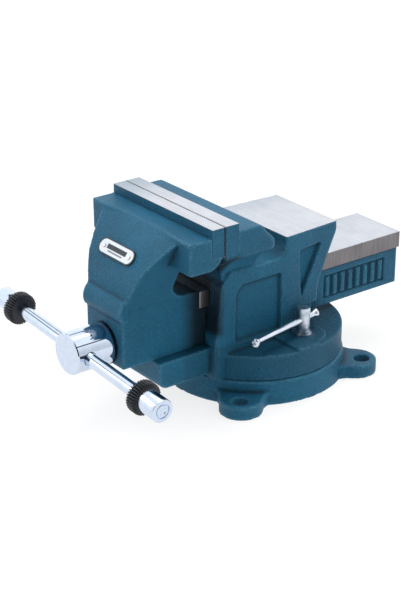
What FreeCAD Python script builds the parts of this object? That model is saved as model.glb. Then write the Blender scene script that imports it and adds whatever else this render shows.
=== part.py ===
"""Swivel-base bench vise with 125 mm jaws, in millimetres.

Frame: the origin is on the swivel axis at the underside of the base. Z is up, the screw runs along Y,
and the handle is at the -Y end. The jaws are closed.
"""
import FreeCAD, Part
import math
import os

from FreeCAD import Vector

# ---- jaws ----
JAW_WIDTH = 125.0
JAW_TOP = 156.5
SEAM_Y = -78.0
SEAM_GAP = 0.5
FRONT_PLATE_THICK = 11.25
FRONT_PLATE_HIGH = 22.0
REAR_PLATE_THICK = 12.35
REAR_PLATE_HIGH = 25.0
PLATE_SCREW_X = 38.0
PLATE_SCREW_Z = 142.5
PLATE_SCREW_R = 4.0
PLATE_SCREW_HEAD_R = 6.5
PLATE_SCREW_HEAD_LONG = 8.0
PLATE_SCREW_LONG = 14.0

# ---- moving jaw and its slide ----
STEP_TOP = 149.4
HEAD_FRONT = -109.4
HEAD_BOTTOM = 124.5
HEAD_HOLLOW = 4.2
NECK_TOP = (-106.0, 149.4)
NECK_BROW = (-132.6, 122.0)
NECK_FOOT = (-139.6, 101.5)
NECK_TOP_HALF = 50.3
BEAD_HALF = 24.6
BEAD_FRONT = -145.8
SLIDE_TOP = 91.7
SLIDE_BAND_BOTTOM = 78.0
SLIDE_BOTTOM = 45.6
SLIDE_BAND_HALF = 26.35
SLIDE_CAST_HALF = 23.7
SLIDE_FRONT = -142.7
SLIDE_BACK = 133.7
SLIDE_BAND_START = -74.0
HOLLOW_HALF = 16.0
HOLLOW_TOP = 80.0
FRONT_WALL = 14.7
PANEL_START = 54.0
PANEL_END = 120.0
PANEL_BOTTOM = 50.5
PANEL_TOP = 71.0
PANEL_DEEP = 1.6
PANEL_BARS = 8
PANEL_BAR_WIDE = 4.0

# ---- fixed body ----
BODY_HALF = 40.0
BODY_BACK_HALF = 36.5
BODY_FRONT = -68.0
CHANNEL_GAP = 0.2
CAST_GAP = 0.4
ANVIL_TOP = 123.0
ANVIL_FRONT = -0.3
ANVIL_BACK = 53.3
SHOULDER_Z = 107.0
FIXED_HEAD_TOP = 150.5
FIXED_HEAD_BACK = -29.5
TONGUE_FRONT = -116.0
TONGUE_HALF = 32.0
TONGUE_BOTTOM = 23.5

# ---- swivel base ----
DISC_R = 71.5
DISC_BOTTOM = 20.0
DISC_TOP = 40.3
BASE_R = 74.4
BASE_TOP_R = 72.6
BASE_TOP = 19.4
SPIGOT_R = 17.0
SPIGOT_BOTTOM = 6.0
LAND_R = 38.0
EAR_COUNT = 4
EAR_HOLE_AT = 88.0
EAR_HOLE_R = 6.25
EAR_CENTRE_AT = 83.0
EAR_R = 17.0
EAR_THICK = 10.8
RING_SLOT_HALF = 5.5
RING_SLOT_DEEP_HALF = 10.0
RING_SLOT_CEILING = 12.0
RING_SLOT_FLOOR = 4.5

# ---- swivel lock bolts ----
LOCK_X = 49.0
LOCK_Y = 10.8
LOCK_PAD_TOP = 42.5
LOCK_PAD_R = 18.0
LOCK_PAD_FRONT = -11.2
LOCK_WASHER_R = 8.5
LOCK_WASHER_THICK = 1.2
LOCK_HEAD_R = 5.25
LOCK_HEAD_LONG = 20.7
LOCK_STUD_R = 4.0
LOCK_BAR_R = 2.65
LOCK_BAR_Z = 54.6
LOCK_BAR_FRONT = 60.0
LOCK_BAR_BACK = 15.8
LOCK_KNOB_R = 3.9
LOCK_KNOB_LONG = 4.4
LOCK_BAR_TURN = 11.1
LOCK_RELIEF_HALF = 31.0
LOCK_RELIEF_FRONT = 8.5
LOCK_RELIEF_TOP = 59.6
LOCK_FLANGE_R = 6.6
LOCK_FLANGE_THICK = 1.6

# ---- screw and handle ----
SPINDLE_Z = 59.9
SPINDLE_R = 10.0
SPINDLE_BACK = 125.0
SPINDLE_HEAD_R = 16.3
SPINDLE_HEAD_FRONT = -177.0
THRUST_WASHER_R = 16.6
THRUST_WASHER_THICK = 1.4
COLLAR_R = 13.5
COLLAR_LONG = 10.0
COLLAR_PIN_R = 2.5
RUNNING_GAP = 0.06
HANDLE_Y = -166.4
HANDLE_TILT = 3.5
HANDLE_R = 5.2
HANDLE_CAP_R = 9.0
HANDLE_CAP_START = 88.0
HANDLE_END = 106.0
HANDLE_RING_R = 12.8
HANDLE_RING_START = 77.5
NUT_HALF = 15.4
NUT_FRONT = -56.0
NUT_BACK = -16.0
NUT_TOP = 75.0
NUT_STEM_R = 11.0
NUT_STEM_BOTTOM = 33.2
NUT_BOLT_R = 5.0
NUT_BOLT_TOP = 48.5
NUT_WASHER_R = 15.0
NUT_WASHER_THICK = 2.5
NUT_POCKET_R = 16.0
NUT_POCKET_TOP = 33.0

# ---- badge on the neck ----
BADGE_CENTRE_X = -3.0
BADGE_LONG = 43.5
BADGE_HIGH = 12.4
BADGE_THICK = 0.8
BADGE_RIVET_R = 1.3
BADGE_RIVET_LONG = 3.0
BADGE_SEAT_EDGE = 0.5

FRONT_PLATE_BACK = SEAM_Y - SEAM_GAP / 2 - FRONT_PLATE_THICK
REAR_PLATE_BACK = SEAM_Y + SEAM_GAP / 2 + REAR_PLATE_THICK
CHANNEL_FLOOR = SLIDE_BOTTOM - CHANNEL_GAP


def box(x0, x1, y0, y1, z0, z1):
    return Part.makeBox(x1 - x0, y1 - y0, z1 - z0, Vector(x0, y0, z0))


def rod(start, direction, radius, length):
    return Part.makeCylinder(radius, length, Vector(*start), Vector(*direction))


def upright(x, y, radius, z0, z1):
    return rod((x, y, z0), (0, 0, 1), radius, z1 - z0)


def along_y(x, z, radius, y0, y1):
    return rod((x, y0, z), (0, 1, 0), radius, y1 - y0)


def outline(points, place):
    """Closed face. A point is a pair, or two pairs for an arc: a point on the arc and its end."""
    def is_arc(point):
        return isinstance(point[0], tuple)

    edges = []
    here = points[0]
    for point in points[1:] + [points[0]]:
        there = point[1] if is_arc(point) else point
        if is_arc(point):
            edges.append(Part.Arc(place(*here), place(*point[0]), place(*there)).toShape())
        elif place(*here).distanceToPoint(place(*there)) > 1e-6:
            edges.append(Part.LineSegment(place(*here), place(*there)).toShape())
        here = there
    return Part.Face(Part.Wire(edges))


def side_slab(points, x0, x1):
    """Solid between two X planes from an outline of (y, z) points."""
    return outline(points, lambda y, z: Vector(x0, y, z)).extrude(Vector(x1 - x0, 0, 0))


def front_slab(points, y0, y1):
    """Solid between two Y planes from an outline of (x, z) points."""
    return outline(points, lambda x, z: Vector(x, y0, z)).extrude(Vector(0, y1 - y0, 0))


def plan_slab(points, z0, z1):
    """Solid between two Z planes from an outline of (x, y) points."""
    return outline(points, lambda x, y: Vector(x, y, z0)).extrude(Vector(0, 0, z1 - z0))


def mirrored(shape):
    return shape.mirror(Vector(0, 0, 0), Vector(1, 0, 0))


def both_sides(shape):
    return shape.fuse(mirrored(shape))


def fused(shapes):
    return shapes[0].multiFuse(shapes[1:]).removeSplitter()


# ---- castings ----
def base_plate():
    body = Part.makeCone(BASE_R, BASE_TOP_R, BASE_TOP)
    body = body.fuse(upright(0, 0, LAND_R, 0, DISC_BOTTOM))
    neck_at = EAR_CENTRE_AT - 2.0
    inner_x = BASE_R - 10.0
    inner_y = EAR_R + 13.0
    ear = plan_slab([
        (0, -inner_y), (inner_x, -inner_y),
        ((inner_x + 7.0, -EAR_R - 3.2), (neck_at, -EAR_R)), (EAR_CENTRE_AT, -EAR_R),
        ((EAR_CENTRE_AT + EAR_R, 0), (EAR_CENTRE_AT, EAR_R)), (neck_at, EAR_R),
        ((inner_x + 7.0, EAR_R + 3.2), (inner_x, inner_y)), (0, inner_y)], 0, EAR_THICK)
    for index in range(EAR_COUNT):
        turned = ear.copy()
        turned.rotate(Vector(0, 0, 0), Vector(0, 0, 1), 45.0 + index * 360.0 / EAR_COUNT)
        body = body.fuse(turned)
    body = body.removeSplitter()
    for index in range(EAR_COUNT):
        angle = math.radians(45.0 + index * 360.0 / EAR_COUNT)
        x = EAR_HOLE_AT * math.cos(angle)
        y = EAR_HOLE_AT * math.sin(angle)
        body = body.cut(upright(x, y, EAR_HOLE_R, -1, EAR_THICK + 1))
    lock_at = math.hypot(LOCK_X, LOCK_Y)
    for half, z0, z1 in ((RING_SLOT_HALF, RING_SLOT_FLOOR, DISC_BOTTOM + 1),
                         (RING_SLOT_DEEP_HALF, RING_SLOT_FLOOR, RING_SLOT_CEILING)):
        ring = upright(0, 0, lock_at + half, z0, z1).cut(upright(0, 0, lock_at - half, z0, z1))
        body = body.cut(ring)
    return body.cut(upright(0, 0, SPIGOT_R + RUNNING_GAP, -1, DISC_BOTTOM + 1))


def body_walls():
    """Side walls and anvil: a side view crossed with a plan view that narrows to the back."""
    side = side_slab([
        (BODY_FRONT, DISC_BOTTOM), (BODY_FRONT, DISC_TOP), (-64.0, 97.5), (-54.0, SHOULDER_Z),
        (-9.0, SHOULDER_Z), ((-3.5, 110.5), (ANVIL_FRONT, 119.0)),
        (ANVIL_FRONT, ANVIL_TOP), (ANVIL_BACK, ANVIL_TOP), (ANVIL_BACK + 1.5, 116.5),
        (39.9, 84.7), ((36.2, 76.0), (35.0, 66.0)), (35.0, DISC_BOTTOM)],
        -BODY_HALF, BODY_HALF)
    taper_from = ANVIL_FRONT + 4.0
    corner = 5.0
    right = [(BODY_HALF - corner, BODY_FRONT),
             ((BODY_HALF - 0.3 * corner, BODY_FRONT + 0.3 * corner), (BODY_HALF, BODY_FRONT + corner)),
             (BODY_HALF, taper_from), (BODY_BACK_HALF, ANVIL_BACK + 4.0)]
    left = [(-BODY_BACK_HALF, ANVIL_BACK + 4.0), (-BODY_HALF, taper_from),
            (-BODY_HALF, BODY_FRONT + corner),
            ((-BODY_HALF + 0.3 * corner, BODY_FRONT + 0.3 * corner), (-BODY_HALF + corner, BODY_FRONT))]
    return side.common(plan_slab(right + left, DISC_BOTTOM, ANVIL_TOP + 1))


def fixed_head():
    """Wide rear jaw head: flares out from the walls, and carries the rear jaw plate on a shelf."""
    half = JAW_WIDTH / 2
    foot = 38.0
    front_view = front_slab([
        (-foot, 92.0), (foot, 92.0), (foot, SHOULDER_Z), ((47.5, 118.5), (half, 128.5)),
        (half, FIXED_HEAD_TOP), (-half, FIXED_HEAD_TOP), (-half, 128.5),
        ((-47.5, 118.5), (-foot, SHOULDER_Z))], BODY_FRONT - 10.0, FIXED_HEAD_BACK)
    seat = JAW_TOP - REAR_PLATE_HIGH
    nose = SEAM_Y + 0.8
    side_view = side_slab([
        (REAR_PLATE_BACK, FIXED_HEAD_TOP), (REAR_PLATE_BACK, seat), (nose, seat), (nose, 122.5),
        ((-75.5, 119.8), (-71.5, 118.0)), ((-64.5, 110.0), (-61.0, 97.5)), (-61.0, 92.0),
        (FIXED_HEAD_BACK, 92.0), (FIXED_HEAD_BACK, 136.0), (-44.6, FIXED_HEAD_TOP)], -half, half)
    return front_view.common(side_view)


def wall_pockets():
    """Shallow recesses of the right side wall: the big panel and the triangle under the anvil."""
    panel = side_slab([
        (-49.0, 47.0), (-49.0, 84.0), ((-46.0, 91.0), (-39.0, 94.5)), (-4.5, 94.5), (-4.5, 47.0)],
        BODY_HALF - 2.4, BODY_HALF + 1)
    triangle = side_slab([(14.8, 107.5), (37.5, 109.0), (17.0, 66.5)], BODY_HALF - 5.0, BODY_HALF + 1)
    relief = box(LOCK_RELIEF_HALF, BODY_HALF + 1, LOCK_RELIEF_FRONT, 60.0, DISC_TOP, LOCK_RELIEF_TOP)
    return [panel, triangle, relief]


def fixed_body():
    disc = upright(0, 0, DISC_R, DISC_BOTTOM, DISC_TOP)
    spigot = upright(0, 0, SPIGOT_R, SPIGOT_BOTTOM, DISC_BOTTOM + 1)
    pad = upright(LOCK_X, LOCK_Y, LOCK_PAD_R, DISC_TOP - 1, LOCK_PAD_TOP)
    pad = pad.fuse(box(LOCK_X - 15.0, DISC_R + 1, LOCK_PAD_FRONT, LOCK_Y, DISC_TOP - 1, LOCK_PAD_TOP))
    pad = pad.common(upright(0, 0, DISC_R, DISC_TOP - 1, LOCK_PAD_TOP))
    tongue_round = 8.0
    tongue = side_slab([
        (0, CHANNEL_FLOOR), (TONGUE_FRONT, CHANNEL_FLOOR), (TONGUE_FRONT, TONGUE_BOTTOM + tongue_round),
        ((TONGUE_FRONT + 0.3 * tongue_round, TONGUE_BOTTOM + 0.3 * tongue_round),
         (TONGUE_FRONT + tongue_round, TONGUE_BOTTOM)), (0, TONGUE_BOTTOM)], -TONGUE_HALF, TONGUE_HALF)
    body = fused([disc, spigot, both_sides(pad), tongue, body_walls(), fixed_head()])
    low_channel = box(-SLIDE_CAST_HALF - CAST_GAP, SLIDE_CAST_HALF + CAST_GAP, -150, 90,
                      CHANNEL_FLOOR, SLIDE_TOP + CHANNEL_GAP)
    band_half = SLIDE_BAND_HALF + CHANNEL_GAP
    band_channel = box(-band_half, band_half, -150, 90, SLIDE_BAND_BOTTOM - CHANNEL_GAP,
                       SLIDE_TOP + CHANNEL_GAP)
    cuts = [low_channel, band_channel]
    for pocket in wall_pockets():
        cuts += [pocket, mirrored(pocket)]
    nut_y = (NUT_FRONT + NUT_BACK) / 2
    cuts.append(upright(0, nut_y, NUT_POCKET_R, DISC_BOTTOM - 1, NUT_POCKET_TOP))
    cuts.append(upright(0, nut_y, NUT_STEM_R + RUNNING_GAP, NUT_POCKET_TOP - 1, CHANNEL_FLOOR + 1))
    for side in (-1, 1):
        cuts.append(upright(side * LOCK_X, LOCK_Y, LOCK_STUD_R + RUNNING_GAP,
                            DISC_BOTTOM - 1, LOCK_PAD_TOP + 1))
        cuts.append(along_y(side * PLATE_SCREW_X, PLATE_SCREW_Z, PLATE_SCREW_R + RUNNING_GAP,
                            REAR_PLATE_BACK - 1, REAR_PLATE_BACK + PLATE_SCREW_LONG))
    for cut in cuts:
        body = body.cut(cut)
    return body


def neck():
    """Neck from the jaw head down to the slide: side view crossed with a front view with hollow flanks."""
    slope = [NECK_TOP, ((-121.6, 135.6), NECK_BROW), ((-136.8, 112.0), NECK_FOOT),
             ((-142.0, 94.0), (SLIDE_FRONT, 86.0)), (SLIDE_FRONT, 80.0), (-86.0, 80.0), (-86.0, SLIDE_TOP),
             ((-94.6, 95.4), (-98.3, 103.5)), (-96.0, 118.0), (-94.0, HEAD_BOTTOM + 1), (-94.0, STEP_TOP)]
    side = side_slab(slope, -JAW_WIDTH / 2, JAW_WIDTH / 2)
    waist = SLIDE_CAST_HALF
    front = front_slab([
        (-waist, 80.0), (waist, 80.0), (waist, 92.0), ((32.6, 118.0), (NECK_TOP_HALF, STEP_TOP)),
        (-NECK_TOP_HALF, STEP_TOP), ((-32.6, 118.0), (-waist, 92.0))], -150.0, -80.0)
    return side.common(front)


def head_hollow():
    """Wide tilted cylinder that scoops the head's front edge back between its two ends."""
    radius = ((JAW_WIDTH / 2) ** 2 + HEAD_HOLLOW ** 2) / (2 * HEAD_HOLLOW)
    down = Vector(0, NECK_BROW[0] - NECK_TOP[0], NECK_BROW[1] - NECK_TOP[1]).normalize()
    outward = Vector(0, down.z, -down.y)
    deepest = Vector(0, HEAD_FRONT + HEAD_HOLLOW, STEP_TOP)
    return Part.makeCylinder(radius, 80.0, deepest + outward * radius - down * 40.0, down)


def tail_panel(side):
    """Shallow sunk panel on the tail's side with upright bars that stay flush with the cast face."""
    inner = SLIDE_CAST_HALF - PANEL_DEEP
    outer = SLIDE_CAST_HALF + 1.0
    low = min(side * inner, side * outer)
    high = max(side * inner, side * outer)
    panel = box(low, high, PANEL_START, PANEL_END, PANEL_BOTTOM, PANEL_TOP)
    pitch = (PANEL_END - PANEL_START) / PANEL_BARS
    for index in range(PANEL_BARS):
        middle = PANEL_START + (index + 0.5) * pitch
        bar = box(low, high, middle - PANEL_BAR_WIDE / 2, middle + PANEL_BAR_WIDE / 2,
                  PANEL_BOTTOM + 2.0, PANEL_TOP - 2.0)
        panel = panel.cut(bar)
    return panel


def movable_jaw():
    half = JAW_WIDTH / 2
    seat = JAW_TOP - FRONT_PLATE_HIGH
    head = side_slab([
        (HEAD_FRONT, STEP_TOP), (FRONT_PLATE_BACK, STEP_TOP), (FRONT_PLATE_BACK, seat), (-79.6, seat),
        ((-83.0, 128.6), (-90.0, HEAD_BOTTOM)), (HEAD_FRONT, HEAD_BOTTOM)], -half, half)
    bead = side_slab([
        (SLIDE_FRONT + 4.0, 101.0), (SLIDE_FRONT + 1.0, 100.0),
        ((BEAD_FRONT, 92.0), (SLIDE_FRONT - 1.6, 84.5)), (SLIDE_FRONT + 4.0, 83.5)], -BEAD_HALF, BEAD_HALF)
    beam = box(-SLIDE_CAST_HALF, SLIDE_CAST_HALF, SLIDE_FRONT, SLIDE_BACK, SLIDE_BOTTOM, SLIDE_TOP)
    band = box(-SLIDE_BAND_HALF, SLIDE_BAND_HALF, SLIDE_BAND_START, SLIDE_BACK,
               SLIDE_BAND_BOTTOM, SLIDE_TOP)
    body = fused([head.cut(head_hollow()), neck(), bead, beam, band])
    body = body.cut(box(-HOLLOW_HALF, HOLLOW_HALF, SLIDE_FRONT + FRONT_WALL, SLIDE_BACK + 1,
                        SLIDE_BOTTOM - 1, HOLLOW_TOP))
    body = body.cut(along_y(0, SPINDLE_Z, SPINDLE_R + RUNNING_GAP, SLIDE_FRONT - 1, 0))
    for side in (-1, 1):
        body = body.cut(along_y(side * PLATE_SCREW_X, PLATE_SCREW_Z, PLATE_SCREW_R + RUNNING_GAP,
                                FRONT_PLATE_BACK - PLATE_SCREW_LONG, FRONT_PLATE_BACK + 1))
        body = body.cut(tail_panel(side))
    return body.cut(badge_seat())


# ---- jaw plates and their screws ----
def jaw_plate(face_y, back_y, high):
    half = JAW_WIDTH / 2
    plate = box(-half, half, min(face_y, back_y), max(face_y, back_y), JAW_TOP - high, JAW_TOP)
    inward = 1 if back_y > face_y else -1
    for side in (-1, 1):
        x = side * PLATE_SCREW_X
        plate = plate.cut(rod((x, face_y - inward, PLATE_SCREW_Z), (0, inward, 0),
                              PLATE_SCREW_R + RUNNING_GAP, 40.0))
        plate = plate.cut(rod((x, face_y - inward, PLATE_SCREW_Z), (0, inward, 0),
                              PLATE_SCREW_HEAD_R + 0.3, PLATE_SCREW_HEAD_LONG + 2.0))
    return plate


def jaw_screws(face_y, inward):
    """Two socket-head screws that go in from the gripping face, sunk 1 mm under it."""
    screws = []
    for side in (-1, 1):
        x = side * PLATE_SCREW_X
        start = (x, face_y + inward, PLATE_SCREW_Z)
        head = rod(start, (0, inward, 0), PLATE_SCREW_HEAD_R, PLATE_SCREW_HEAD_LONG)
        shank = rod(start, (0, inward, 0), PLATE_SCREW_R, PLATE_SCREW_HEAD_LONG + PLATE_SCREW_LONG)
        screw = head.fuse(shank)
        socket = hexagon(6.0, 4.0)
        socket.rotate(Vector(0, 0, 0), Vector(1, 0, 0), -90.0 * inward)
        socket.translate(Vector(*start))
        screws.append(screw.cut(socket).removeSplitter())
    return Part.makeCompound(screws)


def hexagon(across_flats, long):
    """Hexagonal prism on the origin, along +Z."""
    corner = across_flats / math.sqrt(3.0)
    points = [Vector(corner * math.cos(math.radians(60 * i)), corner * math.sin(math.radians(60 * i)), 0)
              for i in range(7)]
    return Part.Face(Part.makePolygon(points)).extrude(Vector(0, 0, long))


# ---- badge ----
def place_on_neck(shape):
    """Move a shape drawn on the XY plane (Z outwards) onto the sloping front of the neck."""
    upper = Vector(0, -124.2, 133.6)
    lower = Vector(0, -131.9, 123.8)
    middle = (upper + lower) * 0.5
    lean = math.degrees(math.atan2(upper.y - lower.y, upper.z - lower.z))
    shape.rotate(Vector(0, 0, 0), Vector(1, 0, 0), 90.0 - lean)
    shape.translate(Vector(BADGE_CENTRE_X, middle.y, middle.z))
    return shape


def pill(half, high, thick):
    """Flat slab with round ends, on the XY plane."""
    straight = half - high
    return plan_slab([(-straight, -high), (straight, -high), ((half, 0), (straight, high)),
                      (-straight, high), ((-half, 0), (-straight, -high))], 0, thick)


def rivet_places():
    return [side * (BADGE_LONG - BADGE_HIGH) / 2 for side in (-1, 1)]


def badge():
    plate = pill(BADGE_LONG / 2, BADGE_HIGH / 2, BADGE_THICK)
    for x in rivet_places():
        plate = plate.cut(upright(x, 0, BADGE_RIVET_R, -1, 2))
    return place_on_neck(plate)


def badge_seat():
    """Flat seat for the badge and the two rivet holes behind it, to cut from the neck."""
    seat = pill(BADGE_LONG / 2 + BADGE_SEAT_EDGE, BADGE_HIGH / 2 + BADGE_SEAT_EDGE, 4.0)
    for x in rivet_places():
        seat = seat.fuse(upright(x, 0, BADGE_RIVET_R, -BADGE_RIVET_LONG, 1))
    return place_on_neck(seat)


def badge_rivets():
    rivets = []
    for x in rivet_places():
        shank = upright(x, 0, BADGE_RIVET_R, -BADGE_RIVET_LONG, BADGE_THICK)
        head = upright(x, 0, BADGE_RIVET_R + 0.5, BADGE_THICK, BADGE_THICK + 0.5)
        rivets.append(place_on_neck(shank.fuse(head).removeSplitter()))
    return Part.makeCompound(rivets)


# ---- screw, collar and nut ----
def spindle_screw():
    head_back = SLIDE_FRONT - THRUST_WASHER_THICK
    head = along_y(0, SPINDLE_Z, SPINDLE_HEAD_R, SPINDLE_HEAD_FRONT, head_back)
    rims = [edge for edge in head.Edges if isinstance(edge.Curve, Part.Circle)]
    head = head.makeChamfer(1.2, rims)
    shaft = along_y(0, SPINDLE_Z, SPINDLE_R, head_back - 1, SPINDLE_BACK)
    tip = [edge for edge in shaft.Edges if isinstance(edge.Curve, Part.Circle)
           and edge.CenterOfMass.y > SPINDLE_BACK - 1]
    screw = head.fuse(shaft.makeChamfer(2.0, tip)).removeSplitter()
    across = (math.cos(math.radians(HANDLE_TILT)), 0, -math.sin(math.radians(HANDLE_TILT)))
    start = (-40.0 * across[0], HANDLE_Y, SPINDLE_Z - 40.0 * across[2])
    screw = screw.cut(rod(start, across, HANDLE_R + RUNNING_GAP, 80.0))
    return screw.cut(collar_pin())


def thrust_washer():
    y0 = SLIDE_FRONT - THRUST_WASHER_THICK
    washer = along_y(0, SPINDLE_Z, THRUST_WASHER_R, y0, SLIDE_FRONT)
    return washer.cut(along_y(0, SPINDLE_Z, SPINDLE_R + RUNNING_GAP, y0 - 1, SLIDE_FRONT + 1))


def retaining_collar():
    y0 = SLIDE_FRONT + FRONT_WALL
    collar = along_y(0, SPINDLE_Z, COLLAR_R, y0, y0 + COLLAR_LONG)
    collar = collar.cut(along_y(0, SPINDLE_Z, SPINDLE_R, y0 - 1, y0 + COLLAR_LONG + 1))
    return collar.cut(collar_pin())


def collar_pin():
    y = SLIDE_FRONT + FRONT_WALL + COLLAR_LONG / 2
    return rod((-COLLAR_R + 0.5, y, SPINDLE_Z), (1, 0, 0), COLLAR_PIN_R, 2 * COLLAR_R - 1.0)


def spindle_nut():
    block = box(-NUT_HALF, NUT_HALF, NUT_FRONT, NUT_BACK, CHANNEL_FLOOR, NUT_TOP)
    nut_y = (NUT_FRONT + NUT_BACK) / 2
    block = block.fuse(upright(0, nut_y, NUT_STEM_R, NUT_STEM_BOTTOM, CHANNEL_FLOOR + 1)).removeSplitter()
    block = block.cut(along_y(0, SPINDLE_Z, SPINDLE_R + RUNNING_GAP, NUT_FRONT - 1, NUT_BACK + 1))
    return block.cut(upright(0, nut_y, NUT_BOLT_R + RUNNING_GAP, NUT_STEM_BOTTOM - 1, NUT_BOLT_TOP + 0.5))


def nut_bolt():
    head_top = NUT_POCKET_TOP - NUT_WASHER_THICK
    head = hexagon(17.0, 7.0)
    head.translate(Vector(0, (NUT_FRONT + NUT_BACK) / 2, head_top - 7.0))
    shank = upright(0, (NUT_FRONT + NUT_BACK) / 2, NUT_BOLT_R, head_top - 1, NUT_BOLT_TOP)
    return head.fuse(shank).removeSplitter()


def nut_washer():
    nut_y = (NUT_FRONT + NUT_BACK) / 2
    washer = upright(0, nut_y, NUT_WASHER_R, NUT_POCKET_TOP - NUT_WASHER_THICK, NUT_POCKET_TOP)
    return washer.cut(upright(0, nut_y, NUT_BOLT_R + RUNNING_GAP, 20, 40))


# ---- handle ----
def on_handle(shape):
    """Take a shape drawn along +X through the origin to the handle's place in the screw head."""
    shape.rotate(Vector(0, 0, 0), Vector(0, 1, 0), HANDLE_TILT)
    shape.translate(Vector(0, HANDLE_Y, SPINDLE_Z))
    return shape


def handle_bar():
    bar = rod((-HANDLE_END + 5.0, 0, 0), (1, 0, 0), HANDLE_R, 2 * HANDLE_END - 10.0)
    return on_handle(bar)


def handle_cap(side):
    start = (side * HANDLE_CAP_START, 0, 0)
    cap = rod(start, (side, 0, 0), HANDLE_CAP_R, HANDLE_END - HANDLE_CAP_START)
    rims = [edge for edge in cap.Edges if isinstance(edge.Curve, Part.Circle)]
    cap = cap.makeChamfer(0.8, rims)
    cap = cap.cut(rod(start, (side, 0, 0), HANDLE_R, HANDLE_END - 5.0 - HANDLE_CAP_START))
    return on_handle(cap)


def handle_ring(side):
    start = (side * HANDLE_RING_START, 0, 0)
    ring = rod(start, (side, 0, 0), HANDLE_RING_R, HANDLE_CAP_START - HANDLE_RING_START)
    rims = [edge for edge in ring.Edges if isinstance(edge.Curve, Part.Circle)]
    ring = ring.makeChamfer(1.5, rims)
    ring = ring.cut(rod(start, (side, 0, 0), HANDLE_R, 20.0))
    return on_handle(ring)


# ---- swivel lock bolts ----
def lock_washer(side):
    top = LOCK_PAD_TOP + LOCK_WASHER_THICK
    washer = upright(side * LOCK_X, LOCK_Y, LOCK_WASHER_R, LOCK_PAD_TOP, top)
    return washer.cut(upright(side * LOCK_X, LOCK_Y, LOCK_STUD_R + RUNNING_GAP, LOCK_PAD_TOP - 1, top + 1))


def lock_bar_at(side, start, radius, long):
    """Rod on a lock bar's line, from a distance along it that counts from the bolt towards the back."""
    angle = math.radians(LOCK_BAR_TURN)
    along = (-side * math.sin(angle), math.cos(angle), 0)
    point = (side * LOCK_X + start * along[0], LOCK_Y + start * along[1], LOCK_BAR_Z)
    return rod(point, along, radius, long)


def lock_head(side):
    bottom = LOCK_PAD_TOP + LOCK_WASHER_THICK
    head = upright(side * LOCK_X, LOCK_Y, LOCK_HEAD_R, bottom, bottom + LOCK_HEAD_LONG)
    flange = upright(side * LOCK_X, LOCK_Y, LOCK_FLANGE_R, bottom, bottom + LOCK_FLANGE_THICK)
    top = [edge for edge in head.Edges if isinstance(edge.Curve, Part.Circle)
           and edge.CenterOfMass.z > bottom + 1]
    head = head.makeChamfer(0.8, top).fuse(flange).removeSplitter()
    head = head.cut(lock_bar_at(side, -20.0, LOCK_BAR_R + RUNNING_GAP, 40.0))
    return head.cut(upright(side * LOCK_X, LOCK_Y, LOCK_STUD_R, bottom - 1, bottom + 8.0))


def lock_stud(side):
    bottom = LOCK_PAD_TOP + LOCK_WASHER_THICK
    return upright(side * LOCK_X, LOCK_Y, LOCK_STUD_R, RING_SLOT_FLOOR + 0.5, bottom + 8.0)


def lock_bar(side):
    bar = lock_bar_at(side, -LOCK_BAR_FRONT, LOCK_BAR_R, LOCK_BAR_FRONT + LOCK_BAR_BACK)
    for start in (-LOCK_BAR_FRONT, LOCK_BAR_BACK - LOCK_KNOB_LONG):
        knob = lock_bar_at(side, start, LOCK_KNOB_R, LOCK_KNOB_LONG)
        rims = [edge for edge in knob.Edges if isinstance(edge.Curve, Part.Circle)]
        bar = bar.fuse(knob.makeChamfer(1.0, rims))
    return bar.removeSplitter()


def t_nut(side):
    half = 8.0
    foot = box(-half, half, -half, half, RING_SLOT_FLOOR + 0.5, RING_SLOT_CEILING)
    neck_of_nut = upright(0, 0, RING_SLOT_HALF - 0.3, RING_SLOT_CEILING - 1, DISC_BOTTOM - 1)
    nut = foot.fuse(neck_of_nut).removeSplitter()
    nut = nut.cut(upright(0, 0, LOCK_STUD_R + RUNNING_GAP, 0, DISC_BOTTOM + 1))
    nut.rotate(Vector(0, 0, 0), Vector(0, 0, 1), side * math.degrees(math.atan2(LOCK_Y, LOCK_X)))
    nut.translate(Vector(side * LOCK_X, LOCK_Y, 0))
    return nut


def all_parts():
    front_face = SEAM_Y - SEAM_GAP / 2
    rear_face = SEAM_Y + SEAM_GAP / 2
    parts = {
        "base_plate": base_plate(),
        "fixed_body": fixed_body(),
        "movable_jaw": movable_jaw(),
        "front_jaw_plate": jaw_plate(front_face, FRONT_PLATE_BACK, FRONT_PLATE_HIGH),
        "rear_jaw_plate": jaw_plate(rear_face, REAR_PLATE_BACK, REAR_PLATE_HIGH),
        "front_jaw_screws": jaw_screws(front_face, -1),
        "rear_jaw_screws": jaw_screws(rear_face, 1),
        "badge": badge(),
        "badge_rivets": badge_rivets(),
        "spindle_screw": spindle_screw(),
        "thrust_washer": thrust_washer(),
        "retaining_collar": retaining_collar(),
        "collar_pin": collar_pin(),
        "spindle_nut": spindle_nut(),
        "nut_bolt": nut_bolt(),
        "nut_washer": nut_washer(),
        "handle_bar": handle_bar(),
    }
    for name, side in (("left", -1), ("right", 1)):
        parts["handle_cap_" + name] = handle_cap(side)
        parts["handle_ring_" + name] = handle_ring(side)
        parts["lock_washer_" + name] = lock_washer(side)
        parts["lock_head_" + name] = lock_head(side)
        parts["lock_stud_" + name] = lock_stud(side)
        parts["lock_bar_" + name] = lock_bar(side)
        parts["t_nut_" + name] = t_nut(side)
    return parts


os.makedirs("parts", exist_ok=True)
for node, shape in all_parts().items():
    if not shape.isValid():
        raise ValueError(node + " is not a valid shape")
    shape.exportStep("parts/" + node + ".step")
    print(node, len(shape.Solids), round(shape.Volume))
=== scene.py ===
"""Looks of the swivel-base bench vise: softened castings, turned and ribbed pieces, materials, light
and camera.

Metres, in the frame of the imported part: +Z up, the screw along Y with the handle at the -Y end.
"""
import math
import bpy
import numpy as np
from mathutils import Matrix, Vector


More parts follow.
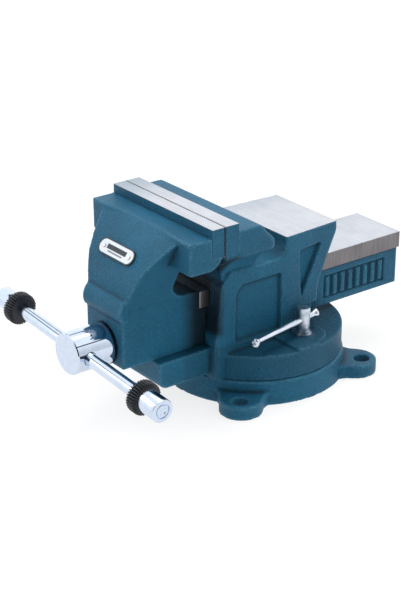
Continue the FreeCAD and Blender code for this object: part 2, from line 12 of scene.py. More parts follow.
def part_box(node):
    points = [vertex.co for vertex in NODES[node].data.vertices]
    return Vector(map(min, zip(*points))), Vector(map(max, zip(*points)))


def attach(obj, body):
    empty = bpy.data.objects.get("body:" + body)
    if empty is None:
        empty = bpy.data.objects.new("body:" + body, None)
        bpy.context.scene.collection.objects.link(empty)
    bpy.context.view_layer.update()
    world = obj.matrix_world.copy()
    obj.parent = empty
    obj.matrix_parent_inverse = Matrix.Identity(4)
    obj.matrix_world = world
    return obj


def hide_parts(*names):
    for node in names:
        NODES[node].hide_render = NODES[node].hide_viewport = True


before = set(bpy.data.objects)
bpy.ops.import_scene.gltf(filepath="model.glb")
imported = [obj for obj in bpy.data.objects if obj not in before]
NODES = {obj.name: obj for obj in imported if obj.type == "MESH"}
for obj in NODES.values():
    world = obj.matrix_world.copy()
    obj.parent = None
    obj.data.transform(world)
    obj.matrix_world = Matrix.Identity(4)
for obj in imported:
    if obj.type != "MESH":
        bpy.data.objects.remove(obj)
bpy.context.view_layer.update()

MM = 0.001

# ---- sizes shared with the part ----
HANDLE_TILT = math.radians(3.5)
HANDLE_R = 5.2 * MM
CAP_R = 9.0 * MM
CAP_START = 88.0 * MM
HANDLE_END = 106.0 * MM
RING_R = 12.8 * MM
RING_START = 77.5 * MM
RING_RIBS = 36
RIB_DEEP = 1.7 * MM
THREAD_PITCH = 5.0 * MM
THREAD_MAJOR = 10.0 * MM
THREAD_MINOR = 7.8 * MM
HEAD_BACK_Y = -144.1 * MM
THREAD_START_Y = -112.0 * MM
LOCK_BAR_TURN = math.radians(11.1)
LOCK_BAR_R = 2.65 * MM
LOCK_KNOB_R = 3.9 * MM
LOCK_BAR_FRONT = 60.0 * MM
LOCK_BAR_BACK = 15.8 * MM

SLIDE_TOP = 91.7 * MM
BAND_BOTTOM = 78.0 * MM
BAND_HALF = 26.35 * MM
BAND_START_Y = -74.0 * MM
ANVIL_TOP = 123.0 * MM
JAW_TOP = 156.5 * MM
JAW_FACE_Y = -78.0 * MM
JAW_HALF = 62.5 * MM
SEAM_HALF = 1.0 * MM
TOOTH_PITCH = 2.4 * MM
DISC_BOTTOM = 20.0 * MM

VOXEL = 0.75 * MM
EDGE_ROUNDS = 4
CORNER_ROUNDS = 40
BEND_ROUNDS = 30
BEND_FULL = 0.5 * MM
PAINT_GLOSS = 0.2
WALL_LIGHT = 1.3
UNLIT_SIDE = (0.80, -0.60, 0.0)
SKIN = 0.3 * MM

PAINT_DEEP = (0.0062, 0.080, 0.150, 1)
PAINT = (0.0122, 0.132, 0.236, 1)
# Pale paint: random worn flecks, and painted highlight with wear on outer edges.
PAINT_WORN_AND_LIT = (0.085, 0.265, 0.380, 1)
# Near black: random dark flecks, and painted shade in corners, in the shade boxes and in the jaw seam.
GRIME_AND_SHADE = (0.0020, 0.0100, 0.0180, 1)
GROUND = (0.68, 0.69, 0.73, 1)
GROUND_LINE = (0.45, 0.46, 0.50, 1)
# Painted shade: ground steel on faces that do not face up.
GROUND_SIDE_SHADED = (0.26, 0.245, 0.255, 1)
GROUND_SIDE_SHADED_LINE = (0.12, 0.112, 0.118, 1)
# Painted shade: ground steel towards -X, and the jaw teeth.
GROUND_SHADED = (0.26, 0.34, 0.40, 1)
BADGE_PLATE = (0.50, 0.53, 0.57, 1)
BADGE_DARK = (0.035, 0.04, 0.045, 1)
BADGE_GREY = (0.15, 0.16, 0.18, 1)
RUBBER_DARK = (0.006, 0.008, 0.013, 1)
RUBBER_PALE = (0.018, 0.021, 0.030, 1)


# ---- node graphs ----
def new_graph(name):
    material = bpy.data.materials.new(name)
    material.use_nodes = True
    material.node_tree.nodes.clear()
    return material, material.node_tree


def add(tree, kind, inputs=None, **settings):
    """A node with its settings, and its inputs linked to a socket or set to a value."""
    node = tree.nodes.new(kind)
    for key, value in settings.items():
        setattr(node, key, value)
    for key, value in (inputs or {}).items():
        if isinstance(value, bpy.types.NodeSocket):
            tree.links.new(value, node.inputs[key])
        else:
            node.inputs[key].default_value = value
    return node


def place(tree):
    return add(tree, "ShaderNodeTexCoord").outputs["Object"]


def stretched(tree, vector, scale):
    return add(tree, "ShaderNodeMapping", {"Vector": vector, "Scale": scale}).outputs["Vector"]


def noise(tree, vector, scale, detail=3.0, roughness=0.55):
    node = add(tree, "ShaderNodeTexNoise",
               {"Vector": vector, "Scale": scale, "Detail": detail, "Roughness": roughness})
    return node.outputs["Fac"]


def calc(tree, operation, first, second=0.0):
    node = add(tree, "ShaderNodeMath", {0: first, 1: second}, operation=operation)
    return node.outputs[0]


def mapped(tree, value, low, high, to_low=0.0, to_high=1.0):
    node = add(tree, "ShaderNodeMapRange", {"Value": value, "From Min": low, "From Max": high,
                                            "To Min": to_low, "To Max": to_high})
    return node.outputs["Result"]


def blended(tree, factor, first, second):
    node = add(tree, "ShaderNodeMix", {0: factor, 6: first, 7: second}, data_type="RGBA")
    return node.outputs[2]


def blended_number(tree, factor, first, second):
    node = add(tree, "ShaderNodeMix", {0: factor, 2: first, 3: second}, data_type="FLOAT")
    return node.outputs[0]


def blended_vector(tree, factor, first, second):
    node = add(tree, "ShaderNodeMix", {0: factor, 4: first, 5: second}, data_type="VECTOR")
    return node.outputs[1]


def bumped(tree, height, strength, distance):
    node = add(tree, "ShaderNodeBump", {"Height": height, "Strength": strength, "Distance": distance})
    return node.outputs["Normal"]


def inside(tree, where, boxes):
    """1 inside any of the boxes of (lowest |x|, y, z) and (highest |x|, y, z), else 0.

    None leaves a side open.
    """
    split = add(tree, "ShaderNodeSeparateXYZ", {"Vector": where})
    axes = [calc(tree, "ABSOLUTE", split.outputs["X"]), split.outputs["Y"], split.outputs["Z"]]
    total = None
    for low, high in boxes:
        tests = [calc(tree, "GREATER_THAN", axis, edge)
                 for axis, edge in zip(axes, low) if edge is not None]
        tests += [calc(tree, "LESS_THAN", axis, edge)
                  for axis, edge in zip(axes, high) if edge is not None]
        mask = tests[0]
        for test in tests[1:]:
            mask = calc(tree, "MULTIPLY", mask, test)
        total = mask if total is None else calc(tree, "MAXIMUM", total, mask)
    return total


def soft_inside(tree, where, boxes):
    """Strongest of boxes of (low, high, fade, strength), each falling to 0 over the fade around it."""
    split = add(tree, "ShaderNodeSeparateXYZ", {"Vector": where})
    axes = [calc(tree, "ABSOLUTE", split.outputs["X"]), split.outputs["Y"], split.outputs["Z"]]
    total = None
    for low, high, fade, strength in boxes:
        mask = strength
        for axis, bottom, top in zip(axes, low, high):
            rise = mapped(tree, axis, bottom - fade, bottom)
            fall = mapped(tree, axis, top, top + fade, 1.0, 0.0)
            mask = calc(tree, "MULTIPLY", calc(tree, "MULTIPLY", rise, fall), mask)
        total = mask if total is None else calc(tree, "MAXIMUM", total, mask)
    return total


def finish_graph(tree, **inputs):
    named = {key.replace("_", " "): value for key, value in inputs.items()}
    shader = add(tree, "ShaderNodeBsdfPrincipled", named)
    add(tree, "ShaderNodeOutputMaterial", {"Surface": shader.outputs["BSDF"]})


# ---- materials ----
def paint_parts(tree, where, shade_boxes):
    """Colour, roughness and height of semi-gloss paint over a sand casting.

    It is lighter on the outer edges, as paint rubbed thin and as painted highlight, and darker in the
    corners and inside the shade boxes as painted shade.
    """
    broad = noise(tree, where, 22.0)
    grain = noise(tree, where, 560.0, 4.0, 0.6)
    fine = noise(tree, where, 1700.0, 2.0)
    tone = calc(tree, "ADD", mapped(tree, broad, 0.35, 0.65, 0.0, 0.5),
                mapped(tree, grain, 0.36, 0.64, 0.0, 0.5))
    colour = blended(tree, tone, PAINT_DEEP, PAINT)
    speck = noise(tree, where, 950.0, 2.0, 0.6)
    colour = blended(tree, mapped(tree, speck, 0.52, 0.72, 0.0, 0.16), colour, PAINT_WORN_AND_LIT)
    colour = blended(tree, mapped(tree, speck, 0.30, 0.48, 0.24, 0.0), colour, GRIME_AND_SHADE)
    bend = add(tree, "ShaderNodeAttribute", attribute_name="bend").outputs["Fac"]
    # Painted highlight together with wear: outer edges lighter, in flecks.
    worn_and_lit = calc(tree, "MULTIPLY", mapped(tree, bend, 0.3, 1.0),
                  mapped(tree, grain, 0.4, 0.6, 0.10, 0.45))
    colour = blended(tree, worn_and_lit, colour, PAINT_WORN_AND_LIT)
    # Painted shade: corners darkened by their bend, and the shade boxes.
    painted_shade = mapped(tree, bend, -0.9, -0.1, 0.7, 0.0)
    if shade_boxes:
        painted_shade = calc(tree, "MAXIMUM", painted_shade, soft_inside(tree, where, shade_boxes))
    colour = blended(tree, painted_shade, colour, GRIME_AND_SHADE)
    rough = mapped(tree, grain, 0.3, 0.7, 0.34, 0.50)
    height = calc(tree, "ADD", grain, calc(tree, "MULTIPLY", fine, 0.5))
    return colour, rough, height


def ground_parts(tree, where):
    """Colour, roughness and height of ground steel, with painted shade: darker and bluer towards -X, and
    darker on faces that do not face up.
    """
    lines = noise(tree, stretched(tree, where, (18.0, 2600.0, 18.0)), 1.0, 3.0, 0.7)
    cloud = noise(tree, where, 45.0, 3.0)
    shade = calc(tree, "ADD", mapped(tree, lines, 0.3, 0.7, 0.0, 0.7),
                 mapped(tree, cloud, 0.3, 0.7, 0.0, 0.3))
    normal = add(tree, "ShaderNodeNewGeometry").outputs["Normal"]
    upward = add(tree, "ShaderNodeSeparateXYZ", {"Vector": normal}).outputs["Z"]
    # Painted shade: faces that do not face up get the darker side colour.
    side = mapped(tree, upward, 0.3, 0.6, 1.0, 0.0)
    across = add(tree, "ShaderNodeSeparateXYZ", {"Vector": where}).outputs["X"]
    # Painted shade: ground steel darker and bluer towards -X.
    far_shade = mapped(tree, across, -0.062, -0.010, 0.75, 0.0)
    colour = blended(tree, far_shade, blended(tree, shade, GROUND, GROUND_LINE), GROUND_SHADED)
    colour = blended(tree, side, colour, blended(tree, shade, GROUND_SIDE_SHADED, GROUND_SIDE_SHADED_LINE))
    rough = mapped(tree, cloud, 0.3, 0.7, 0.30, 0.42)
    return colour, rough, lines


def jaw_teeth(tree, where):
    """Mask of the painted shade in the seam at the gripping faces, mask of the faces themselves, and their
    serration.
    """
    split = add(tree, "ShaderNodeSeparateXYZ", {"Vector": where})
    normal = add(tree, "ShaderNodeTexCoord").outputs["Normal"]
    facing = add(tree, "ShaderNodeSeparateXYZ", {"Vector": normal})
    grip = calc(tree, "GREATER_THAN", calc(tree, "ABSOLUTE", facing.outputs["Y"]), 0.5)
    off = calc(tree, "ABSOLUTE", calc(tree, "SUBTRACT", split.outputs["Y"], JAW_FACE_Y))
    along = calc(tree, "SINE", calc(tree, "MULTIPLY", split.outputs["X"], 2 * math.pi / TOOTH_PITCH))
    upward = calc(tree, "SINE", calc(tree, "MULTIPLY", split.outputs["Z"], 2 * math.pi / TOOTH_PITCH))
    wide = mapped(tree, along, -0.1, 0.3, 0.15 * MM, SEAM_HALF)
    seam_shade = calc(tree, "MULTIPLY", calc(tree, "LESS_THAN", off, wide),
                calc(tree, "SUBTRACT", 1.0, grip))
    return seam_shade, grip, calc(tree, "MULTIPLY", along, upward)


def painted_casting(name, ground_boxes, shade_boxes=(), toothed=False):
    """Painted cast iron, ground bare inside the ground boxes, with painted shade inside the shade boxes.

    A toothed one has the jaws' serration, and painted shade in their seam.
    """
    material, tree = new_graph(name)
    where = place(tree)
    paint_colour, paint_rough, paint_height = paint_parts(tree, where, shade_boxes)
    paint_normal = bumped(tree, paint_height, 1.0, 0.0013)
    if not ground_boxes:
        finish_graph(tree, Base_Color=paint_colour, Roughness=paint_rough,
                     Specular_IOR_Level=PAINT_GLOSS, Normal=paint_normal)
        return material
    steel_colour, steel_rough, steel_height = ground_parts(tree, where)
    steel_normal = bumped(tree, steel_height, 0.25, 0.0001)
    bare = inside(tree, where, ground_boxes)
    if toothed:
        seam_shade, grip, teeth = jaw_teeth(tree, where)
        # Painted shade in the seam between the jaw plates.
        paint_colour = blended(tree, seam_shade, paint_colour, GRIME_AND_SHADE)
        steel_colour = blended(tree, seam_shade, steel_colour, GRIME_AND_SHADE)
        # Painted shade on the teeth: darker in their valleys.
        tooth_shading = blended(tree, mapped(tree, teeth, -0.6, 0.4), GROUND_SIDE_SHADED_LINE, GROUND_SHADED)
        steel_colour = blended(tree, grip, steel_colour, tooth_shading)
        tooth_normal = bumped(tree, teeth, 1.0, 0.5 * MM)
        steel_normal = blended_vector(tree, grip, steel_normal, tooth_normal)
    finish_graph(tree, Base_Color=blended(tree, bare, paint_colour, steel_colour), Metallic=bare,
                 Roughness=blended_number(tree, bare, paint_rough, steel_rough),
                 Specular_IOR_Level=PAINT_GLOSS,
                 Normal=blended_vector(tree, bare, paint_normal, steel_normal))
    return material


def metal(name, colour, dark, rough_low, rough_high, grain_scale=260.0, bump=0.05):
    """Metal with faint clouding, a spread of roughness and a fine surface grain."""
    material, tree = new_graph(name)
    where = place(tree)
    cloud = noise(tree, where, grain_scale, 3.0)
    fine = noise(tree, where, grain_scale * 9.0, 2.0)
    finish_graph(tree, Base_Color=blended(tree, mapped(tree, cloud, 0.35, 0.7), colour, dark),
                 Metallic=1.0, Roughness=mapped(tree, cloud, 0.3, 0.7, rough_low, rough_high),
                 Normal=bumped(tree, fine, bump, 0.0001))
    return material


def badge_metal():
    """Satin plate with a painted shadow along its rim, and two plain dark bars across its middle."""
    material, tree = new_graph("badge_look")
    where = place(tree)
    low, high = (Vector(corner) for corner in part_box("badge"))
    middle = (low + high) / 2
    rise = Vector((0, high.y - low.y, high.z - low.z)).normalized()
    split = add(tree, "ShaderNodeSeparateXYZ", {"Vector": where})
    across = calc(tree, "ABSOLUTE", calc(tree, "SUBTRACT", split.outputs["X"], middle.x))
    up = add(tree, "ShaderNodeVectorMath", {0: where, 1: rise}, operation="DOT_PRODUCT").outputs["Value"]
    up = calc(tree, "SUBTRACT", up, middle.dot(rise))
    half_high = (high - low).yz.length / 2
    straight = (high.x - low.x) / 2 - half_high
    past = calc(tree, "MAXIMUM", calc(tree, "SUBTRACT", across, straight), 0.0)
    from_spine = calc(tree, "SQRT", calc(tree, "ADD", calc(tree, "MULTIPLY", past, past),
                                         calc(tree, "MULTIPLY", up, up)))
    # Painted shadow: a dark band along the plate's edge.
    rim_shadow = mapped(tree, from_spine, half_high - 1.5 * MM, half_high - 1.1 * MM)
    from_thin = calc(tree, "ABSOLUTE", calc(tree, "ADD", up, 2.7 * MM))
    thin_bar = calc(tree, "MULTIPLY", calc(tree, "LESS_THAN", from_thin, 0.6 * MM),
                    calc(tree, "LESS_THAN", across, 9.0 * MM))
    from_wide = calc(tree, "ABSOLUTE", calc(tree, "SUBTRACT", up, 0.8 * MM))
    wide_bar = calc(tree, "MULTIPLY", calc(tree, "LESS_THAN", from_wide, 1.9 * MM),
                    calc(tree, "LESS_THAN", across, 12.0 * MM))
    fine = noise(tree, where, 2200.0, 2.0)
    colour = blended(tree, calc(tree, "MAXIMUM", wide_bar, rim_shadow), BADGE_PLATE, BADGE_DARK)
    colour = blended(tree, thin_bar, colour, BADGE_GREY)
    finish_graph(tree, Base_Color=colour, Metallic=0.7,
                 Roughness=mapped(tree, fine, 0.3, 0.7, 0.28, 0.4), Normal=bumped(tree, fine, 0.1, 0.0001))
    return material


def rubber():
    material, tree = new_graph("black_rubber_look")
    where = place(tree)
    cloud = noise(tree, where, 160.0, 4.0)
    fine = noise(tree, where, 1800.0, 3.0)
    finish_graph(tree, Base_Color=blended(tree, mapped(tree, cloud, 0.3, 0.7), RUBBER_DARK, RUBBER_PALE),
                 Roughness=mapped(tree, cloud, 0.3, 0.7, 0.42, 0.6),
                 Normal=bumped(tree, fine, 0.35, 0.0002))
    return material


# ---- pieces ----
def make_piece(name, points, faces, body, material, smooth_angle=30.0):
    mesh = bpy.data.meshes.new(name)
    mesh.from_pydata([tuple(p) for p in points], [], faces)
    mesh.validate()
    mesh.shade_smooth()
    mesh.set_sharp_from_angle(angle=math.radians(smooth_angle))
    piece = bpy.data.objects.new(name, mesh)
    bpy.context.scene.collection.objects.link(piece)
    mesh.materials.append(material)
    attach(piece, body)
    return piece


def turned(profile, segments, shape=None):
    """Points and faces of a profile of (along, radius) pairs turned about +X.

    shape(along, radius, angle) may change the radius.
    """
    points = []
    for along, radius in profile:
        for index in range(segments):
            angle = 2 * math.pi * index / segments
            r = shape(along, radius, angle) if shape else radius
            points.append(Vector((along, r * math.cos(angle), r * math.sin(angle))))
    faces = []
    for row in range(len(profile) - 1):
        for index in range(segments):
            after = (index + 1) % segments
            faces.append((row * segments + index, row * segments + after,
                          (row + 1) * segments + after, (row + 1) * segments + index))
    return points, faces


def closed_ends(points, faces, segments):
    """Adds the two end faces of a turned solid."""
    last = len(points) - segments
    return faces + [tuple(range(segments))[::-1], tuple(range(last, last + segments))]


def relax(points, edges, weights, rounds):
    """Moves each point towards the middle of its neighbours, by its weight, a number of rounds."""
    counts = np.bincount(edges.ravel(), minlength=len(points))[:, None]
    for _ in range(rounds):
        total = np.empty_like(points)
        for axis in range(3):
            total[:, axis] = (np.bincount(edges[:, 0], points[edges[:, 1], axis], len(points))
                              + np.bincount(edges[:, 1], points[edges[:, 0], axis], len(points)))
        points += 0.5 * weights[:, None] * (total / counts - points)


def bend_of(mesh, points, edges):
    """How far each point stands out from its surroundings: 1 on an outer edge, -1 in a corner."""
    normals = np.empty(len(mesh.vertices) * 3)
    mesh.vertex_normals.foreach_get("vector", normals)
    smooth = points.copy()
    relax(smooth, edges, np.ones(len(points)), BEND_ROUNDS)
    return np.clip(np.sum((points - smooth) * normals.reshape(-1, 3), axis=1) / BEND_FULL, -1.0, 1.0)


def softened_casting(node, body, material, keep, blend):
    """A casting with soft edges and filled corners, and its bend in an attribute.

    keep(x, y, z) is 1 where a face stays sharp, and blend(x, y, z) is 1 where corners are rounded
    further.
    """
    source = bpy.data.objects.new(node + "_source", NODES[node].data.copy())
    bpy.context.scene.collection.objects.link(source)
    remesh = source.modifiers.new("voxels", "REMESH")
    remesh.mode = "VOXEL"
    remesh.voxel_size = VOXEL
    evaluated = source.evaluated_get(bpy.context.evaluated_depsgraph_get())
    mesh = bpy.data.meshes.new_from_object(evaluated)
    bpy.data.objects.remove(source)
    points = np.empty(len(mesh.vertices) * 3)
    mesh.vertices.foreach_get("co", points)
    points = points.reshape(-1, 3)
    edges = np.empty(len(mesh.edges) * 2, dtype=np.int64)
    mesh.edges.foreach_get("vertices", edges)
    edges = edges.reshape(-1, 2)
    x, y, z = np.abs(points[:, 0]), points[:, 1].copy(), points[:, 2].copy()
    free = 1.0 - keep(x, y, z).astype(float)
    relax(points, edges, free, EDGE_ROUNDS)
    relax(points, edges, free * blend(x, y, z), CORNER_ROUNDS)
    low, high = (np.array(corner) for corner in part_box(node))
    points = np.clip(points, low, high)
    mesh.vertices.foreach_set("co", points.ravel())
    mesh.update()
    bend = mesh.attributes.new("bend", "FLOAT", "POINT")
    bend.data.foreach_set("value", bend_of(mesh, points, edges))
    mesh.materials.clear()
    mesh.materials.append(material)
    mesh.shade_smooth()
    mesh.name = node + "_cast"
    piece = bpy.data.objects.new(node + "_cast", mesh)
    bpy.context.scene.collection.objects.link(piece)
    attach(piece, body)
    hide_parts(node)
    return piece


def castings():
    open_top = [((None, BAND_START_Y - SKIN, SLIDE_TOP - SKIN), (BAND_HALF + SKIN, None, None)),
                ((BAND_HALF - SKIN, BAND_START_Y - SKIN, BAND_BOTTOM - SKIN),
                 (BAND_HALF + SKIN, None, None))]
    # Painted shade on the jaw's flank where it passes under the fixed body, running on along the slide.
    jaw_shade_boxes = [((0.0, -76.0 * MM, 40.0 * MM), (70.0 * MM, 36.0 * MM, 118.0 * MM), 14.0 * MM, 0.95)]
    # Painted shade: the body's front face at the throat, the channel top, the corner under the anvil, and
    # the disc.
    body_shade_boxes = [((0.0, -90.0 * MM, 60.0 * MM), (70.0 * MM, -66.0 * MM, 128.0 * MM), 6.0 * MM, 0.95),
                  ((0.0, -90.0 * MM, 90.0 * MM), (27.0 * MM, 0.0, 98.0 * MM), 3.0 * MM, 0.95),
                  ((0.0, -11.0 * MM, 112.0 * MM), (60.0 * MM, -5.0 * MM, 122.0 * MM), 7.0 * MM, 0.55),
                  ((0.0, -90.0 * MM, 18.0 * MM), (90.0 * MM, 90.0 * MM, 46.5 * MM), 4.0 * MM, 0.28)]
    jaw_paint = painted_casting("jaw_paint", open_top, jaw_shade_boxes)
    body_steel = [((None, None, ANVIL_TOP - SKIN), (None, None, ANVIL_TOP + SKIN))]
    body_paint = painted_casting("body_paint", body_steel, body_shade_boxes)
    base_paint = painted_casting("base_paint", [])

    def jaw_keep(x, y, z):
        slide = (y > BAND_START_Y - 1 * MM) & (z < SLIDE_TOP + 1 * MM)
        seat = (y > -91.5 * MM) & (z > 132.0 * MM)
        badge_seat = (x < 27 * MM) & (y < -118 * MM) & (z > 122.5 * MM) & (z < 135.0 * MM)
        return slide | seat | badge_seat

    def jaw_blend(x, y, z):
        under_head = (x > 26 * MM) & (y > -112 * MM) & (y < -90 * MM) & (z > 115 * MM) & (z < 140 * MM)
        return 0.10 * under_head

    def body_keep(x, y, z):
        channel = (x < 28 * MM) & (z > 44.5 * MM) & (z < 93 * MM)
        top = z > ANVIL_TOP - 1 * MM
        anvil = top & (y > -2 * MM)
        seat = (y < -63 * MM) & (z > 130 * MM)
        return channel | anvil | seat | (z < DISC_BOTTOM + 1 * MM)

    def body_blend(x, y, z):
        wall = (x > 33 * MM) & (z > 44 * MM) & (z < 120 * MM) & (y > -60 * MM)
        head = (x > 42 * MM) & (z > 108 * MM) & (z < 146 * MM) & (y < -20 * MM)
        under_anvil = (z > 100 * MM) & (z < 121 * MM) & (y > -35 * MM) & (y < 0)
        return np.maximum(0.16 * wall, np.maximum(1.0 * head, 0.5 * under_anvil))

    def base_keep(x, y, z):
        return (z < 1 * MM) | (np.hypot(x, y) < 62 * MM)

    def base_blend(x, y, z):
        return 0.15 * (np.hypot(x, y) > 70 * MM)

    softened_casting("movable_jaw", "jaw", jaw_paint, jaw_keep, jaw_blend)
    softened_casting("fixed_body", "swivel", body_paint, body_keep, body_blend)
    softened_casting("base_plate", "base", base_paint, base_keep, base_blend)


def handle_frame():
    """Place and turn of the handle: its bar lies along local X."""
    low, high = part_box("handle_bar")
    middle = (Vector(low) + Vector(high)) / 2
    return Matrix.Translation(middle) @ Matrix.Rotation(HANDLE_TILT, 4, "Y")


def handle_pieces(chrome, black):
    move = handle_frame()
    segments = 96
    long = HANDLE_END - 5 * MM
    bar, faces = turned([(-long, HANDLE_R), (long, HANDLE_R)], segments)
    piece = make_piece("handle_bar_polished", [move @ p for p in bar], closed_ends(bar, faces, segments),
                       "handle", chrome)
    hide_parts("handle_bar")
    cap = [(CAP_START, HANDLE_R), (CAP_START, CAP_R - 0.6 * MM), (CAP_START + 0.6 * MM, CAP_R),
           (HANDLE_END - 1.0 * MM, CAP_R), (HANDLE_END - 0.3 * MM, CAP_R - 0.3 * MM),
           (HANDLE_END, CAP_R - 1.0 * MM),
           (HANDLE_END, 5.9 * MM), (HANDLE_END - 0.9 * MM, 5.6 * MM), (HANDLE_END - 0.9 * MM, 5.0 * MM),
           (HANDLE_END - 0.1 * MM, 4.7 * MM), (HANDLE_END, 4.3 * MM), (HANDLE_END, 2.8 * MM),
           (HANDLE_END - 0.4 * MM, 2.5 * MM), (HANDLE_END - 0.4 * MM, 0.05 * MM)]
    edge = HANDLE_R + 0.02 * MM
    ring_end = CAP_START - 0.05 * MM
    ring = [(RING_START, edge), (RING_START, RING_R - 3.2 * MM), (RING_START + 0.4 * MM, RING_R - 2.2 * MM),
            (RING_START + 0.5 * MM, RING_R - 1.9 * MM), (RING_START + 1.3 * MM, RING_R - 0.3 * MM),
            (RING_START + 1.9 * MM, RING_R), (ring_end - 1.9 * MM, RING_R),
            (ring_end - 1.3 * MM, RING_R - 0.3 * MM),
            (ring_end - 0.5 * MM, RING_R - 1.9 * MM), (ring_end - 0.4 * MM, RING_R - 2.2 * MM),
            (ring_end, RING_R - 3.2 * MM), (ring_end, edge)]

    def ribbed(along, radius, angle):
        wave = 0.5 - 0.5 * math.cos(RING_RIBS * angle)
        depth = RIB_DEEP * min(1.0, max(0.0, (radius - RING_R) / (2 * MM) + 1.7))
        return radius - depth * wave ** 1.5

    for name, side in (("left", -1), ("right", 1)):
        flip = move @ Matrix.Rotation(0.0 if side > 0 else math.pi, 4, "Z")
        points, faces = turned(cap, segments)
        piece = make_piece("handle_cap_turned_" + name, [flip @ p for p in points],
                           closed_ends(points, faces, segments), "handle", chrome)
        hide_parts("handle_cap_" + name)
        points, faces = turned(ring, RING_RIBS * 8, ribbed)
        piece = make_piece("handle_ring_ribbed_" + name, [flip @ p for p in points], faces,
                           "handle", black, 28.0)
        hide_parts("handle_ring_" + name)


def lock_bars(zinc):
    """Sliding bars of the swivel locks, with flared and dimpled ends."""
    segments = 48
    knob = 4.4 * MM
    front, back = -LOCK_BAR_FRONT, LOCK_BAR_BACK
    profile = [(front + 0.5 * MM, 0.05 * MM), (front + 0.5 * MM, 1.2 * MM), (front, 1.7 * MM),
               (front, 2.9 * MM), (front + 0.7 * MM, LOCK_KNOB_R), (front + 2.0 * MM, LOCK_KNOB_R),
               (front + 3.2 * MM, 3.2 * MM),
               (front + knob, LOCK_BAR_R), (back - knob, LOCK_BAR_R), (back - 3.2 * MM, 3.2 * MM),
               (back - 2.0 * MM, LOCK_KNOB_R), (back - 0.7 * MM, LOCK_KNOB_R), (back, 2.9 * MM),
               (back, 1.7 * MM),
               (back - 0.5 * MM, 1.2 * MM), (back - 0.5 * MM, 0.05 * MM)]
    for name, side in (("left", -1), ("right", 1)):
        low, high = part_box("lock_stud_" + name)
        bar_low, bar_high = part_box("lock_bar_" + name)
        centre = Vector(((low[0] + high[0]) / 2, (low[1] + high[1]) / 2, (bar_low[2] + bar_high[2]) / 2))
        move = Matrix.Translation(centre) @ Matrix.Rotation(math.pi / 2 + side * LOCK_BAR_TURN, 4, "Z")
        points, faces = turned(profile, segments)
        piece = make_piece("lock_bar_turned_" + name, [move @ p for p in points],
                           closed_ends(points, faces, segments), "bar_" + name, zinc, 40.0)
        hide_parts("lock_bar_" + name)


def spindle(chrome, oiled):
    """The screw: its polished head with the handle's cross hole, and a trapezoidal thread."""
    low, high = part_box("spindle_screw")
    axis_z = (low[2] + high[2]) / 2
    radius = (high[2] - low[2]) / 2
    front, back = low[1], HEAD_BACK_Y
    segments = 192
    profile = [(front, 0.05 * MM), (front, radius - 1.2 * MM), (front + 0.35 * MM, radius - 0.45 * MM),
               (front + 1.2 * MM, radius), (back - 1.0 * MM, radius), (back, radius - 1.0 * MM),
               (back, 0.05 * MM)]
    points, faces = turned(profile, segments)
    turn = Matrix.Translation((0, 0, axis_z)) @ Matrix.Rotation(math.pi / 2, 4, "Z")
    head = make_piece("spindle_head_polished", [turn @ p for p in points],
                      closed_ends(points, faces, segments), "spindle", chrome)
    across = HANDLE_R + 0.35 * MM
    points, faces = turned([(-30 * MM, across), (30 * MM, across)], 64)
    drill = make_piece("drill", [handle_frame() @ p for p in points], closed_ends(points, faces, 64),
                       "spindle", chrome)
    bore = head.modifiers.new("bore", "BOOLEAN")
    bore.object = drill
    bore.solver = "EXACT"
    cut = bpy.data.meshes.new_from_object(head.evaluated_get(bpy.context.evaluated_depsgraph_get()))
    cut.set_sharp_from_angle(angle=math.radians(25))
    head.modifiers.remove(bore)
    head.data = cut
    bpy.data.objects.remove(drill)

    segments = 48
    start, end = back, high[1]
    steps = int(round((end - start) / (THREAD_PITCH / 12)))
    points = []
    for row in range(steps + 1):
        y = start + (end - start) * row / steps
        for index in range(segments):
            angle = 2 * math.pi * index / segments
            turn = ((y - THREAD_START_Y) / THREAD_PITCH - index / segments) % 1.0
            depth = min(1.0, max(0.0, 4.0 * abs(turn - 0.5) - 0.5))
            fade = min(1.0, max(0.0, (y - THREAD_START_Y) / (3 * MM)))
            radius = THREAD_MAJOR - (THREAD_MAJOR - THREAD_MINOR) * depth * fade
            radius = min(radius, THREAD_MINOR + (end - y))
            points.append((radius * math.cos(angle), y, axis_z - radius * math.sin(angle)))
    faces = []
    for row in range(steps):
        for index in range(segments):
            after = (index + 1) % segments
            faces.append((row * segments + index, (row + 1) * segments + index,
                          (row + 1) * segments + after, row * segments + after))
    faces.append(tuple(range(steps * segments, (steps + 1) * segments))[::-1])
    shaft = make_piece("spindle_thread", points, faces, "spindle", oiled, 35.0)
    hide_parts("spindle_screw")
    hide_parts("spindle_screw")


